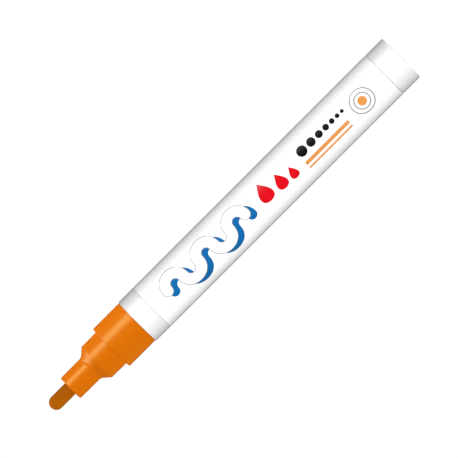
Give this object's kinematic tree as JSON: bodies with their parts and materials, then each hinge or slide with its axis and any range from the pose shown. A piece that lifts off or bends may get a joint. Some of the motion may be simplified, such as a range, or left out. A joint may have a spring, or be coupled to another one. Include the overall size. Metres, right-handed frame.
{
  "type": "paint marker",
  "caption": "Paint marker with a white aluminium barrel, stepped orange nozzle, a fibre bullet nib that opens a sprung valve when pressed, and loose steel mixing balls inside.",
  "frame": {"origin": "centre of the tail's flat end face, on the marker's axis", "axes": "+Z along the marker's axis from the tail to the nib; the marker stands on its tail; +X and +Y across"},
  "size_m": [0.015, 0.015, 0.1368],
  "materials": {
    "barrel_enamel": "gloss",
    "white_plastic": "gloss",
    "orange_plastic": "gloss",
    "nib_fibre": "matte",
    "valve_plastic": "satin",
    "seal_rubber": "matte",
    "spring_steel": "gloss",
    "ball_steel": "polished"
  },
  "bodies": {
    "marker_body": {"barrel": "barrel_enamel", "tail_plug": "white_plastic", "collar": "white_plastic", "nozzle": "orange_plastic", "valve_gasket": "seal_rubber", "valve_housing": "valve_plastic", "valve_seal": "seal_rubber", "valve_spring": "spring_steel", "spring_retainer": "valve_plastic"},
    "nib": {"nib": "nib_fibre"},
    "valve_stem": {"valve_stem": "valve_plastic"},
    "mixing_ball_1": {"mixing_ball_1": "ball_steel"},
    "mixing_ball_2": {"mixing_ball_2": "ball_steel"}
  },
  "joints": [
    {"name": "nib_press", "type": "slide", "parent": "marker_body", "child": "nib", "axis": [0, 0, -1], "range_m": [0, 0.002], "stiffness_N_per_m": 400, "springref_m": -0.003},
    {"name": "valve_lift", "type": "slide", "parent": "marker_body", "child": "valve_stem", "axis": [0, 0, -1], "range_m": [0, 0.002], "deforming": ["valve_spring"]},
    {"name": "ball_1_travel", "type": "slide", "parent": "marker_body", "child": "mixing_ball_1", "axis": [0, 0, 1], "range_m": [0, 0.0705]},
    {"name": "ball_2_travel", "type": "slide", "parent": "marker_body", "child": "mixing_ball_2", "axis": [0, 0, 1], "range_m": [0, 0.0705]}
  ],
  "couplings": [
    {"joint": "valve_lift", "follows": "nib_press", "ratio": 1}
  ]
}
